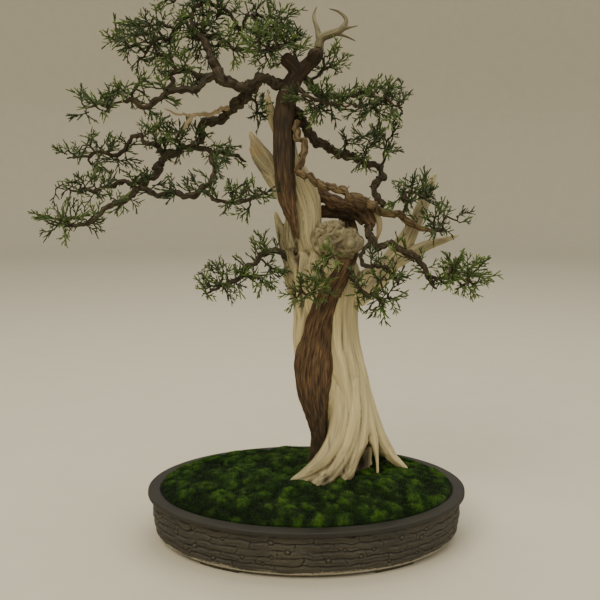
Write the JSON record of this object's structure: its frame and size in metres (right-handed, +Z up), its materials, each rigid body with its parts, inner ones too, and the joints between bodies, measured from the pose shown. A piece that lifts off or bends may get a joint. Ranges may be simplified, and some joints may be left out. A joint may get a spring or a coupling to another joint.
{
  "type": "bonsai tree in a pot",
  "caption": "Juniper bonsai with a bleached deadwood trunk, a strip of living bark and open tiers of foliage, rooted in moss in a low oval pot.",
  "frame": {"origin": "middle of the whole tree's bounding box, on the surface that the pot's feet stand on", "axes": "+X to the right of the front view, +Y towards the back, +Z up the tree"},
  "size_m": [0.5192, 0.2734, 0.6718],
  "materials": {
    "stoneware": "unglazed dark grey-brown stoneware, matte",
    "screen_plastic": "black plastic mesh, matte",
    "training_wire": "annealed copper-coloured aluminium wire, satin",
    "trunk_bark": "shredding red-brown juniper bark, rough",
    "branch_bark": "flaky grey-brown juniper bark, rough",
    "root_bark": "brown root bark, rough",
    "bleached_deadwood": "weathered, bleached wood with a silky grain",
    "moss": "dense living moss, velvety",
    "soil": "fine clay grit, matte",
    "juniper_foliage": "scale-leaved juniper shoots, waxy green"
  },
  "bodies": {
    "root": {"pot": "stoneware", "drainage_screen_left": "screen_plastic", "screen_clip_left": "training_wire", "drainage_screen_right": "screen_plastic", "screen_clip_right": "training_wire", "root_tie_wire": "training_wire", "live_vein": "trunk_bark", "deadwood_trunk": "bleached_deadwood", "dead_apex": "bleached_deadwood", "roots": "root_bark", "branch_upper_left": "branch_bark", "branch_top_loop": "branch_bark", "branch_left_tier": "branch_bark", "branch_cascade": "branch_bark", "branch_left_low": "branch_bark", "branch_left_middle": "branch_bark", "branch_left_fork": "branch_bark", "branch_inner_return": "branch_bark", "branch_cascade_right": "branch_bark", "branch_right_top": "branch_bark", "branch_right_loop": "branch_bark", "branch_right_upper": "branch_bark", "branch_right_twisted": "branch_bark", "branch_burl_right": "branch_bark", "branch_lower_left": "branch_bark", "branch_front_low": "branch_bark", "branch_front_right": "branch_bark", "dead_twig": "bleached_deadwood", "moss": "moss", "soil": "soil", "foliage_top_left_outer": "juniper_foliage", "foliage_top_left_inner": "juniper_foliage", "foliage_top": "juniper_foliage", "foliage_crown": "juniper_foliage", "foliage_crown_top": "juniper_foliage", "foliage_crown_inner": "juniper_foliage", "foliage_crown_right": "juniper_foliage", "foliage_tier_inner": "juniper_foliage", "foliage_tier_middle": "juniper_foliage", "foliage_tier_tip": "juniper_foliage", "foliage_cascade_top": "juniper_foliage", "foliage_near_trunk": "juniper_foliage", "foliage_left_fork": "juniper_foliage", "foliage_left_middle": "juniper_foliage", "foliage_left_tip": "juniper_foliage", "foliage_inner": "juniper_foliage", "foliage_right_top_outer": "juniper_foliage", "foliage_right_top_inner": "juniper_foliage", "foliage_right_middle": "juniper_foliage", "foliage_far_right_upper": "juniper_foliage", "foliage_far_right_lower": "juniper_foliage", "foliage_lower_right": "juniper_foliage", "foliage_burl": "juniper_foliage", "foliage_front_low": "juniper_foliage", "foliage_front_right": "juniper_foliage", "foliage_lower_left_outer": "juniper_foliage", "foliage_lower_left_inner": "juniper_foliage"}
  },
  "joints": []
}
